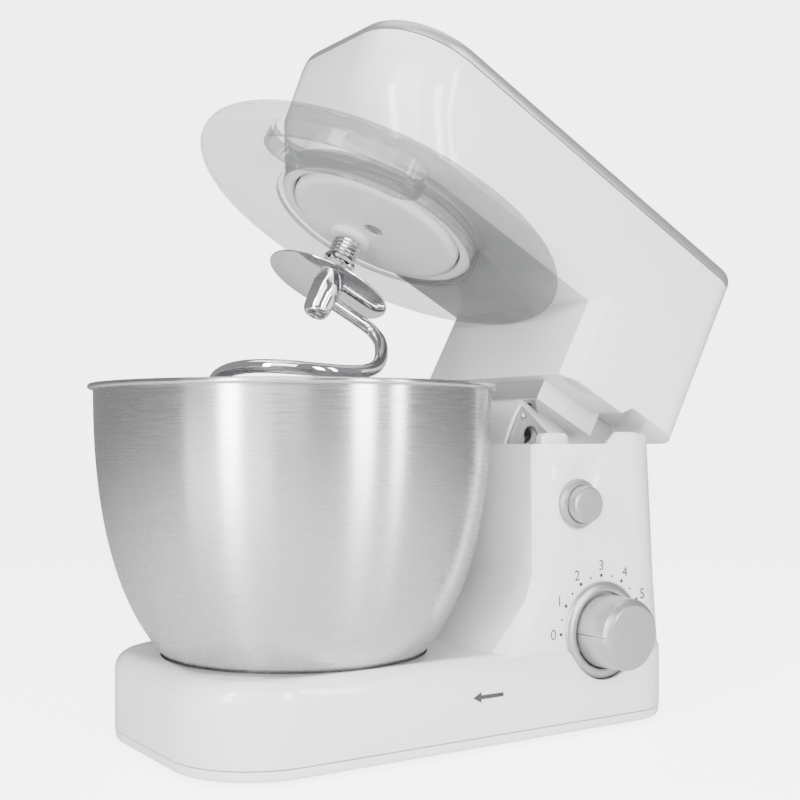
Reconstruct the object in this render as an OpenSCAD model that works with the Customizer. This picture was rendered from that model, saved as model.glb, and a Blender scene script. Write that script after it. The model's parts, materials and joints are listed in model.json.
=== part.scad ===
// Tilt-head stand mixer: base and column, tilting head with motor and planetary drive,
// locking bowl, clear splash guard and spiral dough hook.
// Millimetres, +Z up, counter at z = 0. The nose points to -X and the controls face -Y.
// Parts of the head are drawn with the head closed and are then swung open about the hinge pin.

/* [Layout] */
// Distance from the origin to the bowl's axis, towards the nose
bowl_offset = 81; // [60:1:100]
// Angle the head stands open at rest
open_angle = 28; // [0:1:32]
// Distance from the bowl's axis back to the hinge pin
hinge_back = 197.5; // [190:0.5:205]
// Height of the hinge pin above the counter
hinge_h = 138; // [132:0.5:142]

/* [Base and column] */
// Width of the base
base_w = 160; // [140:1:190]
// Height of the base's deck above the counter
deck_h = 50; // [46:1:54]
// Distance from the bowl's axis to the front end of the base
base_front = 86.5; // [82:0.5:100]
// Distance from the bowl's axis to the back end of the base
base_back = 216; // [212:1:240]
// Height of the column's rim above the counter
column_h = 161.5; // [158:0.5:168]
// Wall of the moulded shells
shell_wall = 2.5; // [2:0.1:3]
// Height of the suction feet below the tray
foot_h = 3.2; // [2.4:0.1:5]

/* [Head] */
// Width of the head
head_w = 144; // [120:1:170]
// Height of the seam under the top cover
seam_h = 274.5; // [268:0.5:300]
// Thickness of the top cover
cover_t = 8.5; // [7:0.5:12]
// Distance from the bowl's axis to the tip of the nose
nose_front = 68; // [66:1:80]
// Corner radius of the nose in plan
nose_r = 44; // [30:1:50]

/* [Bowl] */
// Outer diameter of the bowl's rolled rim
bowl_d = 220; // [205:1:240]
// Height of the rim above the counter
rim_h = 193.5; // [188:0.5:196]
// Wall of the bowl
bowl_wall = 1; // [0.8:0.1:1.5]

/* [Drive] */
// Radius from the hub's axis to the spindle's axis
orbit_r = 24; // [24:0.5:27]
// Diameter of the spindle
spindle_d = 10; // [8:0.5:11]
// Diameter of the motor shaft
shaft_d = 8; // [7:0.5:9]
// Radius of the planetary hub
hub_r = 50; // [48:0.5:52]
// Diameter of the dough hook's rod
rod_d = 7.6; // [6:0.2:9]

/* [Controls] */
// Diameter of the speed knob
knob_d = 41; // [34:1:44]
// Diameter of the head release button
button_d = 20.4; // [16:0.2:22]
// Stroke of the release button
button_stroke = 6; // [4:0.5:7]

/* [Hidden] */
$fn = 64;
corner_steps = 8;

running = 0.05;      // radial clearance of a running fit
near_fit = 0.3;      // gap between faces that pass each other
eps = 0.02;          // overlap that joins two solids

// Base and column
tray_gap = 0.8;                       // shadow groove between housing and tray
tray_top = foot_h + 5.2;
housing_z = tray_top + tray_gap;
edge_r = 9;                           // rounding of the deck's edge
corner_front = 47;
corner_back = 36;
column_front = 110.5;                 // front face of the column, from the bowl's axis
column_back = base_back - 8;
column_side = head_w / 2 + 2;
column_side_low = base_w / 2 - 3.2;
column_chamfer = 7.5;
column_knee_h = 82;                   // the front face leans forward below this height
column_toe = 74;                      // where the lean ends, from the bowl's axis
column_corner = 30;
step_x = 160;                         // the rim steps up behind this distance
step_h = 6.5;

// Bowl seat
bowl_depth = 166;                     // depth of the full curve, which the floor cuts short
function bowl_r(z) = (bowl_d / 2 - 3) * pow(1 - pow((rim_h - z) / bowl_depth, 2.3), 1 / 3);
seat_gap = 1.6127;                      // room round the bowl at the deck's height
seat_r = bowl_r(deck_h) + seat_gap;
seat_floor = deck_h - 7.8;
ring_r = seat_r - 5;
ring_t = 2;
ring_z = seat_floor - 3.4;
pocket_r = 54;
pocket_floor = deck_h - 17;
foot_r = 46;                          // bowl foot, outside
foot_t = 2;
lug_r = 51;
lug_count = 4;
lug_angle = 22;

// Controls on the side face
panel_y = -(column_side + column_side_low) / 2;
knob_x = 154.5;
knob_z = 57;
side_foot = deck_h - edge_r - 2;       // where the column's side starts
function side_at(z) = column_side_low - (column_side_low - column_side) / 2
    * (z - side_foot) / (column_knee_h - side_foot);
dial_sink = 0.81395;                    // depth of the dial's seat in the sloping side
dial_y = dial_sink - side_at(knob_z);
button_x = 137.5;
button_z = 128.3;
bolt_x = 132;
bolt_z = 135.7;
bolt_r = 4.5;
stem_r = 2.2;
gland_r = 7;
gland_y = 30;

// Head
head_top = seam_h + cover_t;
cover_gap = 0.8;
head_floor = 211;
side_chamfer = 8;
head_back = column_back;
back_r = 18;
neck_h = column_h + 1.5;
neck_step = 157;
tongue_side = 31;
tongue_r = 81;
barrel_r = 8.5;
pin_r = 5;
bush_r = 6.5;
plate_t = 1.5;
boss_r = 4.5;

// Planetary drive, heights with the head closed
guard_plane = 200;
collar_r = 58;
turret_r = hub_r + 6.5;                 // round housing of the gears, under the nose
hub_bottom = 196;
hub_t = 8;
gear_module = 1.5;
pinion_teeth = 16;
ring_teeth = pinion_teeth + round(2 * orbit_r / gear_module);
gear_z = 208.5;
gear_t = 8;
gear_plate_z = gear_z + gear_t;
wheel_teeth = 40;
wheel_module = 1;
worm_half = 14;
worm_r = 6.5;
worm_y = wheel_teeth * wheel_module / 2 + worm_r;
motor_z = 241;
shaft_r = shaft_d / 2;
spindle_r = spindle_d / 2;

// Dough hook, heights with the head closed
boss_top = 177;
boss_tip = 142;
dish_z = 162;
dish_r = 36.5;
rod_z = 155.5;
hook_reach = 40.5;
hook_bend_r = 7.5;
hook_lean = 11;                       // sideways shift of the bend, towards the controls
hook_bottom = 59;

// ---------- helpers ----------

module stand() translate([-bowl_offset, 0, 0]) children();

// Swings what is drawn closed up to the open position
module head_pose() stand()
    translate([hinge_back, 0, hinge_h]) rotate([0, open_angle, 0])
    translate([-hinge_back, 0, -hinge_h]) children();

module along_x() rotate([0, 90, 0]) children();

module along_y() rotate([-90, 0, 0]) children();

// Quarter circle of points, anticlockwise from angle a
function quarter(x, y, r, a) = [for (i = [0:corner_steps]) [x + r * cos(a + 90 * i / corner_steps),
    y + r * sin(a + 90 * i / corner_steps)]];

// Plan rounded at both ends by their own radii, anticlockwise
function plan_points(front, back, half, r_front, r_back, inset = 0) = let (
    rf = max(r_front - inset, 1), rb = max(r_back - inset, 1), f = front + inset + rf,
    b = back - inset - rb, yf = half - inset - rf, yb = half - inset - rb)
    concat(quarter(b, yb, rb, 0), quarter(f, yf, rf, 90), quarter(f, -yf, rf, 180),
        quarter(b, -yb, rb, 270));

// Plan with chamfered front corners and rounded back corners, anticlockwise
function column_points(front, back, half, r, inset = 0) = let (c = column_chamfer,
    k = inset * 0.4, rb = r - inset, b = back - inset - rb, yb = half - inset - rb)
    concat(quarter(b, yb, rb, 0), [[front + c + k, half - inset], [front + inset, half - c - k],
        [front + inset, k + c - half], [front + c + k, inset - half]], quarter(b, -yb, rb, 270));

// Solid through plans of equal point counts, given as [height, points] from the bottom up
module loft(levels) {
    n = len(levels[0][1]);
    rows = len(levels) - 1;
    polyhedron([for (v = levels) for (p = v[1]) [p[0], p[1], v[0]]],
        concat([for (j = [0:rows - 1]) for (k = [0:n - 1]) let (m = (k + 1) % n)
            each [[j * n + k, (j + 1) * n + k, (j + 1) * n + m], [j * n + k, (j + 1) * n + m, j * n + m]]],
            [[for (k = [0:n - 1]) k]], [[for (k = [n - 1:-1:0]) rows * n + k]]), convexity = 8);
}

module slab(z, t = 0.02) translate([0, 0, z]) linear_extrude(t) children();

function base_points(inset = 0) =
    plan_points(-base_front, base_back, base_w / 2, corner_front, corner_back, inset);

module base_plan(inset = 0) polygon(base_points(inset));

// Straight-sided gear outline with tips and roots of equal width
module gear_outline(teeth, module_size, slack = 0, above = 0.95, below = 1.2) {
    pitch = teeth * module_size / 2;
    step = 360 / teeth;
    root = pitch - below * module_size;
    tip = pitch + above * module_size;
    half_root = step * 0.32 - slack / pitch * 57.3;
    half_tip = step * 0.12 - slack / pitch * 57.3 / 2;
    polygon([for (i = [0:teeth - 1]) for (p = [[root, -half_root], [tip, -half_tip],
        [tip, half_tip], [root, half_root]]) p[0] * [cos(i * step + p[1]), sin(i * step + p[1])]]);
}

// Tube of radius r that follows a list of points, closed at both ends
function unit(v) = v / norm(v);
function heading(pts, i) = unit(pts[min(i + 1, len(pts) - 1)] - pts[max(i - 1, 0)]);
function side_of(d, up) = unit(cross(d, abs(d * up) > 0.95 ? [0, 1, 0] : up));
module tube(pts, r, sides = 8, up = [0, 0, 1]) {
    n = len(pts);
    rings = [for (i = [0:n - 1]) let (d = heading(pts, i), a = side_of(d, up), b = cross(d, a))
        for (k = [0:sides - 1]) pts[i] + r * (cos(k * 360 / sides) * a + sin(k * 360 / sides) * b)];
    walls = [for (i = [0:n - 2]) for (k = [0:sides - 1]) let (m = (k + 1) % sides,
        p = i * sides, q = p + sides) each [[p + k, p + m, q + m], [p + k, q + m, q + k]]];
    polyhedron(rings, concat(walls, [[for (k = [sides - 1:-1:0]) k]],
        [[for (k = [0:sides - 1]) (n - 1) * sides + k]]), convexity = 6);
}

// Coil spring standing on z = 0
module coil(r, wire, length, turns, steps = 14)
    tube([for (i = [0:turns * steps]) let (a = i * 360 / steps)
        [r * cos(a), r * sin(a), wire + (length - 2 * wire) * i / (turns * steps)]], wire, 6);

module screw(d, length, head_d) {
    cylinder(d = d, h = length);
    translate([0, 0, -0.35 * head_d]) difference() {
        cylinder(d = head_d, h = 0.35 * head_d + eps);
        translate([0, 0, -eps]) cylinder(d = head_d * 0.55, h = 0.15 * head_d, $fn = 6);
    }
}

// ---------- base and column ----------

module base_block(inset, low) loft(concat([[low, base_points(inset)]],
    [for (a = [0:15:90]) [deck_h - edge_r + (edge_r - inset) * sin(a),
        base_points(edge_r - (edge_r - inset) * cos(a))]]));

module column(inset, top) loft([
    [deck_h - edge_r - 2, column_points(column_toe - 2, base_back - 1.5, column_side_low,
        column_corner + 4, inset)],
    [column_knee_h, column_points(column_front, column_back + 4,
        (column_side + column_side_low) / 2, column_corner + 2, inset)],
    [top, column_points(column_front, column_back, column_side, column_corner, inset)]]);

// The raised back part of the column's rim, with a sloping front and a rounded back
module rim_step() {
    r = 5;
    intersection() {
        slab(column_h - 1, step_h + 2) difference() {
            polygon(column_points(column_front, column_back, column_side, column_corner, 0.05));
            polygon(column_points(column_front, column_back, column_side, column_corner, shell_wall));
        }
        across(-column_side - 1, 2 * column_side + 2) union() {
            polygon([[step_x - 2, column_h - 2], [step_x, column_h], [step_x + step_h, column_h + step_h],
                [column_back - r, column_h + step_h], [column_back - r, column_h - 2]]);
            translate([column_back - r - eps, column_h - 2]) square([r, step_h + 2 - r]);
            translate([column_back - r, column_h + step_h - r]) circle(r);
        }
    }
}

// Deck and column together; the two mouldings part just over the deck
module housing_shell() difference() {
    union() {
        difference() {
            union() {
                base_block(0, housing_z);
                column(0, column_h);
            }
            base_block(shell_wall, housing_z - 1);
            column(shell_wall, column_h + 1);
        }
        rim_step();
        // floor and walls of the bowl seat
        translate([0, 0, ring_z - 2.2]) cylinder(r = seat_r + 2, h = deck_h - ring_z + 1.2);
        translate([0, 0, pocket_floor - 2]) cylinder(r = pocket_r + 2.5, h = ring_z - pocket_floor);
        // locating lugs that enter the neck
        for (s = [-1, 1]) translate([119, s * (column_side - 10) - 2.5, column_h - 14])
            cube([18, 5, 20]);
        for (s = [-1, 1]) translate([119, s > 0 ? column_side - 10 : -column_side + 1.2, column_h - 14])
            cube([18, 8.8, 10]);
        // posts for the tray's screws, and pads for the hinge bracket
        for (p = screw_places) translate([p[0], p[1], housing_z + 4])
            cylinder(r = 4, h = (p[0] < 0 ? ring_z : deck_h - 1) - housing_z - 4);
        for (s = [-1, 1]) translate([hinge_back + 6, s > 0 ? bracket_in - 3 : -bracket_in - 3, 86])
            cube([6, 6, 34]);
        // rib that stops the release button
        translate([column_front + 1, -38, 116]) cube([36, 2, 14]);
        // sleeves behind the controls
        translate([button_x, panel_y + 2, button_z]) along_y() cylinder(r = button_d / 2 + 3, h = 10);
        translate([knob_x, dial_y, knob_z]) along_y() cylinder(r = 10, h = 6);
    }
    translate([0, 0, seat_floor]) cylinder(r = seat_r, h = 30);
    translate([0, 0, ring_z]) cylinder(r = ring_r, h = 20);
    translate([0, 0, pocket_floor]) cylinder(r = pocket_r, h = 30);
    translate([button_x, panel_y - 6, button_z]) along_y() cylinder(r = button_d / 2 + 0.4, h = 30);
    translate([knob_x, dial_y - 6, knob_z]) along_y() cylinder(r = 6, h = 30);
    translate([base_back - 12, gland_y, 30]) along_x() cylinder(r = gland_r, h = 20);
    for (p = screw_places) translate([p[0], p[1], foot_h]) cylinder(r = 1.7, h = 20.2);
    translate([knob_x, -base_w, knob_z]) along_y() cylinder(r = 27.4, h = base_w + dial_y + 0.6);
}

module base_housing() color("white") stand() difference() {
    housing_shell();
    slab(deck_h + 3 * eps, 200) square(600, center = true);
}

module column_housing() color("white") stand() intersection() {
    housing_shell();
    slab(deck_h + 3 * eps, 200) square(600, center = true);
}

module base_tray() color("gainsboro") stand() difference() {
    union() {
        slab(foot_h, tray_top - foot_h) base_plan(0.4);
        slab(tray_top - 1, 5) difference() {
            base_plan(shell_wall + near_fit);
            base_plan(2 * shell_wall + near_fit);
        }
    }
    slab(foot_h + 2.4, 12) base_plan(2 * shell_wall + near_fit);
    for (p = foot_places) translate([p[0], p[1], foot_h - 1]) cylinder(r = 3, h = 10);
    for (p = screw_places) translate([p[0], p[1], foot_h - 1]) cylinder(r = 1.8, h = 14);
}

foot_places = [[-base_front + 42, -base_w / 2 + 32], [-base_front + 42, base_w / 2 - 32],
    [base_back - 30, -base_w / 2 + 30], [base_back - 30, base_w / 2 - 30]];
screw_places = [[-base_front + 30, 0], [base_back - 6, 0], [68, -base_w / 2 + 16],
    [68, base_w / 2 - 16]];

// Suction cup with a stem that plugs into the tray
module suction_foot(n) color("dimgray") stand() translate(concat(foot_places[n], [0])) {
    rotate_extrude() polygon([[0, 1.2], [7, 1.2], [11, 0], [12.5, 0], [10, foot_h], [3, foot_h],
        [3, foot_h + 4.4], [0, foot_h + 4.4]]);
}

module bowl_lock_ring() color("silver") stand() difference() {
    translate([0, 0, ring_z]) cylinder(r = ring_r - near_fit, h = ring_t);
    translate([0, 0, ring_z - 1]) cylinder(r = foot_r + 1, h = ring_t + 2);
    for (i = [0:lug_count - 1]) rotate([0, 0, 360 / lug_count * i + 40])
        translate([0, 0, ring_z - 1]) linear_extrude(ring_t + 2) intersection() {
            circle(lug_r + 1);
            polygon([[0, 0], for (a = [-1, 1]) 80 * [cos(a * (lug_angle / 2 + 3)),
                sin(a * (lug_angle / 2 + 3))]]);
        }
}

bracket_in = 34;
module hinge_bracket() color("silver") stand() difference() {
    union() {
        for (s = [-1, 1]) translate([hinge_back - 16, s > 0 ? bracket_in : -bracket_in - 3, 84])
            cube([22, 3, hinge_h - 84 + 10]);
        translate([hinge_back + 3, -bracket_in - 3, 84]) cube([3, 2 * bracket_in + 6, 38]);
    }
    translate([hinge_back, -50, hinge_h]) along_y() cylinder(r = pin_r, h = 100);
}

module hinge_pin() color("silver") stand() translate([hinge_back, -bracket_in - 5, hinge_h])
    along_y() union() {
        cylinder(r = pin_r, h = 2 * bracket_in + 10);
        translate([0, 0, -2]) cylinder(r = pin_r + 2, h = 3.9);
        translate([0, 0, 2 * bracket_in + 8.1]) cylinder(r = pin_r + 2, h = 3.9);
    }

module dial_bezel() color("silver") stand() translate([knob_x, dial_y + 0.6, knob_z])
    rotate([90, 0, 0]) difference() {
        rotate_extrude() polygon([[knob_d / 2 + 0.8, 0], [27.4, 0], [27.4, 1.6], [26.2, 3.2],
            [22.6, 4.2], [knob_d / 2 + 0.8, 2.6]]);
        translate([0, 0, -1]) cylinder(r = 6, h = 3);
    }

module button_bezel() color("silver") stand() translate([button_x, panel_y + 0.6, button_z])
    rotate([90, 0, 0]) rotate_extrude() polygon([[button_d / 2 + 0.08, -3], [button_d / 2 + 0.4, -3],
        [button_d / 2 + 0.4, 0], [13.8, 0], [13.8, 1.6], [12.8, 3], [button_d / 2 + 0.9, 4],
        [button_d / 2 + 0.08, 3.4]]);

module speed_switch() color("dimgray") stand() difference() {
    union() {
        translate([knob_x - 18, dial_y + 6, knob_z - 18]) cube([36, 20, 36]);
        translate([knob_x, dial_y + 0.8, knob_z]) along_y() cylinder(r = 5.9, h = 6);
    }
    translate([knob_x, dial_y, knob_z]) along_y() cylinder(r = 3 + running, h = 24);
}

module control_board() color("darkgreen") stand() union() {
    translate([126, 54, 34]) cube([58, 1.6, 70]);
    translate([134, 44, 44]) cube([14, 10.01, 22]);
    translate([158, 46, 50]) cube([12, 8.01, 12]);
    translate([142, 54.01, 84]) rotate([90, 0, 0]) cylinder(r = 6, h = 14);
    translate([166, 54.01, 84]) rotate([90, 0, 0]) cylinder(r = 5, h = 12);
}

module latch_spring() color("silver") stand() translate([button_x, panel_y + 27, button_z - 4])
    along_y() coil(3, 0.32, 4.2, 4);

module cord_gland() color("dimgray") stand() translate([base_back - 6, gland_y, 30]) along_x()
    difference() {
        union() {
            cylinder(r = gland_r, h = 8);
            cylinder(r = gland_r + 2, h = 3.4);
            translate([0, 0, 6.1]) cylinder(r1 = gland_r + 2.5, r2 = gland_r + 1, h = 3);
        }
        translate([0, 0, -1]) cylinder(r = 3.75, h = 14);
    }

module base_screws() color("silver") stand() for (p = screw_places)
    translate([p[0], p[1], foot_h - 0.05]) screw(3.4, 20, 5.6);

// ---------- controls ----------

module speed_knob() color("silver") stand() translate([knob_x, dial_y - 2.4, knob_z])
    rotate([90, 0, 0]) difference() {
        rotate_extrude() polygon([[0, 0], [knob_d / 2, 0], [knob_d / 2 - 0.9, 20.6],
            [knob_d / 2 - 4, 23.6], [0, 23.6]]);
        translate([0, 0, -1]) cylinder(r = 3, h = 15);
        translate([-knob_d / 2 - 1, -0.4, 23.2]) cube([knob_d + 2, 0.8, 1]);
    }

module selector_shaft() color("silver") stand() translate([knob_x, dial_y - 16, knob_z])
    along_y() cylinder(r = 3, h = 38);

module release_button() color("silver") stand() translate([button_x, panel_y + 4, button_z])
    rotate([90, 0, 0]) rotate_extrude() polygon([[0, -20], [5, -20], [5, 0], [button_d / 2, 0],
        [button_d / 2, 12.4], [button_d / 2 - 1.6, 14], [0, 14]]);

module latch_bolt() color("silver") stand() union() {
    translate([bolt_x - 7, panel_y + 24, button_z - 9]) cube([18, 3, 22]);
    translate([bolt_x, panel_y + 26.9, bolt_z]) along_y() cylinder(r = stem_r, h = 24);
    translate([bolt_x, 0.6 - tongue_side + 4, bolt_z]) along_y() cylinder(r = bolt_r, h = 4);
}

// ---------- bowl ----------

bowl_floor = deck_h - 7.4;
bowl_steps = 22;
bowl_side = [for (i = [0:bowl_steps]) let (t = i / bowl_steps,
    z = bowl_floor + 1.5 + (rim_h - 3 - bowl_floor - 1.5) * pow(t, 1.3)) [bowl_r(z), z]];

module bowl() color("silver") stand() rotate_extrude($fn = 96) union() {
    polygon(concat([[0, bowl_floor], [bowl_side[0][0] - 3, bowl_floor]], bowl_side,
        [[bowl_side[bowl_steps][0], rim_h - 1.2]],
        [[bowl_side[bowl_steps][0] - bowl_wall, rim_h - 1.2]],
        [for (i = [bowl_steps:-1:0]) [bowl_side[i][0] - bowl_wall, bowl_side[i][1] + (i > 0 ? 0 : 0.4)]],
        [[bowl_side[0][0] - 3.6, bowl_floor + bowl_wall], [0, bowl_floor + bowl_wall]]));
    translate([bowl_d / 2 - 2.2, rim_h - 1.5]) circle(1.5);
    translate([bowl_d / 2 - 1.5, rim_h - 1.5]) circle(1.5);
    translate([bowl_d / 2 - 4, rim_h - 1.6]) square([2.6, 1.6]);
}

module bowl_foot() color("silver") stand() {
    difference() {
        translate([0, 0, ring_z - 3]) cylinder(r = foot_r, h = bowl_floor - ring_z + 3);
        translate([0, 0, ring_z - 4]) cylinder(r = foot_r - foot_t, h = bowl_floor - ring_z + 6);
    }
    for (i = [0:lug_count - 1]) rotate([0, 0, 360 / lug_count * i])
        translate([0, 0, ring_z - 3]) linear_extrude(2.4) intersection() {
            difference() {
                circle(lug_r);
                circle(foot_r - 1);
            }
            polygon([[0, 0], for (a = [-1, 1]) 80 * [cos(a * lug_angle / 2), sin(a * lug_angle / 2)]]);
        }
}

// ---------- head ----------

function head_points(inset = 0, nose_cut = 0) =
    plan_points(nose_cut - nose_front, head_back, head_w / 2, nose_r, back_r, inset);

module head_plan(inset = 0) polygon(head_points(inset));

module head_block(inset, top) loft([
    [head_floor + inset, head_points(inset + side_chamfer, 21)],
    [head_floor + side_chamfer + inset * 0.4, head_points(inset, 21)],
    [241, head_points(inset, 4)],
    [top, head_points(inset)]]);

module neck_plan(inset)
    polygon(column_points(column_front, head_back, head_w / 2, back_r, inset));

// Cuts the neck's edge up over the raised part of the column's rim
module neck_step_cut() translate([0, 100, 0]) rotate([90, 0, 0]) linear_extrude(200)
    polygon([[neck_step, neck_h - 1], [neck_step, neck_h], [neck_step + step_h, neck_h + step_h],
        [head_back + 5, neck_h + step_h], [head_back + 5, neck_h - 1]]);

module head_housing() color("white") head_pose() difference() {
    union() {
        head_block(0, seam_h - cover_gap);
        slab(neck_h, head_floor + 12 - neck_h) neck_plan(0.1);
        translate([0, 0, head_floor]) cylinder(r = turret_r, h = 15);
    }
    difference() {
        head_block(shell_wall, seam_h + 1);
        for (p = boss_places) translate([p[0], p[1], 200]) cylinder(r = boss_r, h = 80);
    }
    slab(neck_h - 1, head_floor + 26 - neck_h) neck_plan(shell_wall);
    neck_step_cut();
    translate([0, 0, head_floor - 1]) cylinder(r = hub_r + 1, h = 6);
    translate([0, 0, head_floor + shell_wall]) cylinder(r = turret_r - shell_wall, h = 15 - 2 * shell_wall);
    for (p = boss_places) translate([p[0], p[1], seam_h - 16]) cylinder(r = 1.4, h = 20);
}

boss_mid = 240 - head_w;               // goes back past the stator as the head narrows
boss_places = [[-44, -42], [-44, 42], [boss_mid, -head_w / 2 + 6], [boss_mid, head_w / 2 - 6],
    [head_back - 6, -40], [head_back - 6, 40]];

module top_cover() color("darkgray") head_pose() difference() {
    union() {
        loft(concat([[seam_h, head_points(0)]], [for (a = [0:18:90])
            [head_top - 6 + 6 * sin(a), head_points(6 - 6 * cos(a))]]));
        slab(seam_h - 3, 4) difference() {
            head_plan(shell_wall + 0.8);
            head_plan(2 * shell_wall + 0.5);
        }
    }
    slab(seam_h - 1, cover_t - 2 + 1) head_plan(2 * shell_wall + 0.5);
    for (p = boss_places) translate([p[0], p[1], seam_h - 4]) cylinder(r = boss_r + near_fit, h = 4);
}

module cover_screws() color("silver") head_pose() for (p = boss_places)
    translate([p[0], p[1], seam_h - 14]) cylinder(r = 1.4, h = 10.6);

function on_arc(r, a) = [hinge_back + r * cos(a), hinge_h + r * sin(a)];
tongue_top = 170;                     // angles from the hinge, front edge of the tongue
tongue_low = 213;
module tongue_sector(r_out, a0, a1, r_in = 0)
    polygon(concat([for (a = [a0:3:a1]) on_arc(r_out, a)], [on_arc(r_in, a1)],
        r_in > 0 ? [for (a = [a1:-3:a0]) on_arc(r_in, a)] : []));

module across(y0, t) translate([0, y0 + t, 0]) rotate([90, 0, 0]) linear_extrude(t) children();

module head_tongue() color("white") head_pose() difference() {
    union() {
        for (s = [-1, 1]) across(s > 0 ? tongue_side - 4 : -tongue_side, 4) union() {
            tongue_sector(tongue_r, tongue_top, tongue_low);
            translate([hinge_back, hinge_h]) polygon([[-66, -2], [4, -2], [3, 9], [-10, 33], [-66, 33]]);
        }
        translate([hinge_back, -tongue_side, hinge_h]) along_y() cylinder(r = barrel_r, h = 2 * tongue_side);
        across(1 - tongue_side, 2 * tongue_side - 2)
            tongue_sector(tongue_r - 0.1, tongue_top, tongue_low - 1, tongue_r - 3);
        difference() {
            translate([column_front + 6, -46, neck_h - 12]) cube([46, 92, 20]);
            translate([column_front + 8.5, -43.5, neck_h - 13]) cube([41, 87, 18.5]);
        }
        translate([column_front + 6, -46, neck_h - 12]) cube([46, 92, 2.5]);
        slab(neck_h + step_h + 1, 3) neck_plan(shell_wall);
    }
    translate([hinge_back, -50, hinge_h]) along_y() cylinder(r = bush_r, h = 100);
    bolt_track(-tongue_side - 1, 6);
}

// Slot that the bolt's stem follows as the head swings, with a hole for its collar at each end
module bolt_track(y0, t) {
    x = bolt_x - hinge_back;
    z = bolt_z - hinge_h;
    swing = norm([x, z]);
    a0 = atan2(z, x) + 360;
    across(y0, t) {
        for (a = [a0, a0 + open_angle]) translate(on_arc(swing, a)) circle(bolt_r + 0.5);
        polygon(concat([for (i = [0:8]) on_arc(swing + stem_r + 0.6, a0 + open_angle * i / 8)],
            [for (i = [8:-1:0]) on_arc(swing - stem_r - 0.6, a0 + open_angle * i / 8)]));
    }
}

module latch_plate() color("gray") head_pose() difference() {
    across(-tongue_side - plate_t, plate_t) intersection() {
        tongue_sector(tongue_r - 2, 173, 211, tongue_r - 27);
        translate([0, 0]) square([300, neck_h - 15]);
    }
    bolt_track(-tongue_side - 3, 4);
    translate([hinge_back - 75, -tongue_side - 2, hinge_h + 5]) along_y() cylinder(r = 1.6, h = 0.8);
}

module hinge_bush(s) color("tan") head_pose() translate([hinge_back, s > 0 ? tongue_side - 10 : -tongue_side, hinge_h])
    along_y() difference() {
        cylinder(r = bush_r, h = 10);
        translate([0, 0, -1]) cylinder(r = pin_r + running, h = 12);
    }

// ---------- gearbox and motor ----------

bearing_r = 11;
module gearbox_housing() color("lightsteelblue") head_pose() difference() {
    union() {
        translate([0, 0, gear_plate_z]) cylinder(r = hub_r + 2, h = 4);
        translate([0, 0, gear_plate_z]) cylinder(r = bearing_r + 3, h = 12);
        translate([0, 0, head_floor + shell_wall]) difference() {
            cylinder(r = hub_r + 4, h = gear_plate_z + 4 - head_floor - shell_wall);
            translate([0, 0, -1]) cylinder(r = hub_r - 1, h = 20);
        }
    }
    translate([0, 0, gear_plate_z + 3]) cylinder(r = bearing_r, h = 12);
    translate([0, 0, gear_plate_z - 1]) cylinder(r = spindle_r + 4, h = 12);
}

module ring_gear() color("white") head_pose() translate([0, 0, gear_z]) difference() {
    cylinder(r = hub_r - 1, h = gear_t);
    translate([0, 0, -1]) linear_extrude(gear_t + 2)
        rotate(90) gear_outline(ring_teeth, gear_module, -0.25, 1.2, 0.95);
}

module hub_bearing() color("silver") head_pose() translate([0, 0, gear_plate_z + 3]) difference() {
    cylinder(r = bearing_r, h = 8);
    translate([0, 0, -1]) cylinder(r = 6 + running, h = 10);
}

module hub_collar() color("white") head_pose() difference() {
    translate([0, 0, hub_bottom + 3]) cylinder(r = collar_r, h = head_floor - hub_bottom - 3);
    translate([0, 0, hub_bottom]) cylinder(r = hub_r + 1.2, h = 20);
}

module on_motor_axis(x) translate([x, worm_y, motor_z]) along_x() children();

module motor_stator() color("gray") head_pose() on_motor_axis(72) difference() {
    intersection() {
        translate([-25, -25, 0]) cube([50, 50, 42]);
        cylinder(r = 31, h = 42);
    }
    translate([0, 0, -1]) cylinder(r = 17.6, h = 44);
}

module field_coils() color("chocolate") head_pose() for (x = [66, 114.2]) on_motor_axis(x)
    difference() {
        cylinder(r = 23.5, h = 5.8);
        translate([0, 0, -1]) cylinder(r = 20.5, h = 8);
    }

module motor_bracket(x, z) color("silver") head_pose() difference() {
    union() {
        translate([x, worm_y - 24, z]) cube([3, 48, motor_z + 28 - z]);
        on_motor_axis(x - 2) cylinder(r = 11, h = 7);
    }
    on_motor_axis(x - 3) cylinder(r = 8, h = 12);
}

module shaft_bearing(x) color("silver") head_pose() on_motor_axis(x) difference() {
    cylinder(r = 8, h = 6);
    translate([0, 0, -1]) cylinder(r = shaft_r + running, h = 8);
}

module carbon_brush(s) color("black") head_pose()
    translate([125, worm_y + s * 15.3 - 5, motor_z - 3]) cube([7, 10, 6]);

module rotor_shaft() color("silver") head_pose() on_motor_axis(worm_half) cylinder(r = shaft_r, h = 132);

module rotor_core() color("dimgray") head_pose() on_motor_axis(73) difference() {
    cylinder(r = 17, h = 40);
    translate([0, 0, -1]) cylinder(r = shaft_r, h = 42);
    for (i = [0:11]) rotate([0, 0, 30 * i]) translate([15.5, 0, -1]) cylinder(r = 1.6, h = 42);
}

module commutator() color("peru") head_pose() on_motor_axis(121.5) difference() {
    cylinder(r = 10, h = 14);
    translate([0, 0, -1]) cylinder(r = shaft_r, h = 16);
    for (i = [0:23]) rotate([0, 0, 15 * i]) translate([9.2, -0.25, -1]) cube([2, 0.5, 16]);
}

module cooling_fan() color("white") head_pose() on_motor_axis(58.5) difference() {
    union() {
        cylinder(r = 7, h = 6.5);
        cylinder(r = 19, h = 1.2);
        for (i = [0:8]) rotate([0, 0, 40 * i]) translate([6, -0.6, 0]) cube([12.6, 1.2, 6.5]);
    }
    translate([0, 0, -1]) cylinder(r = shaft_r, h = 9);
}

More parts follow.
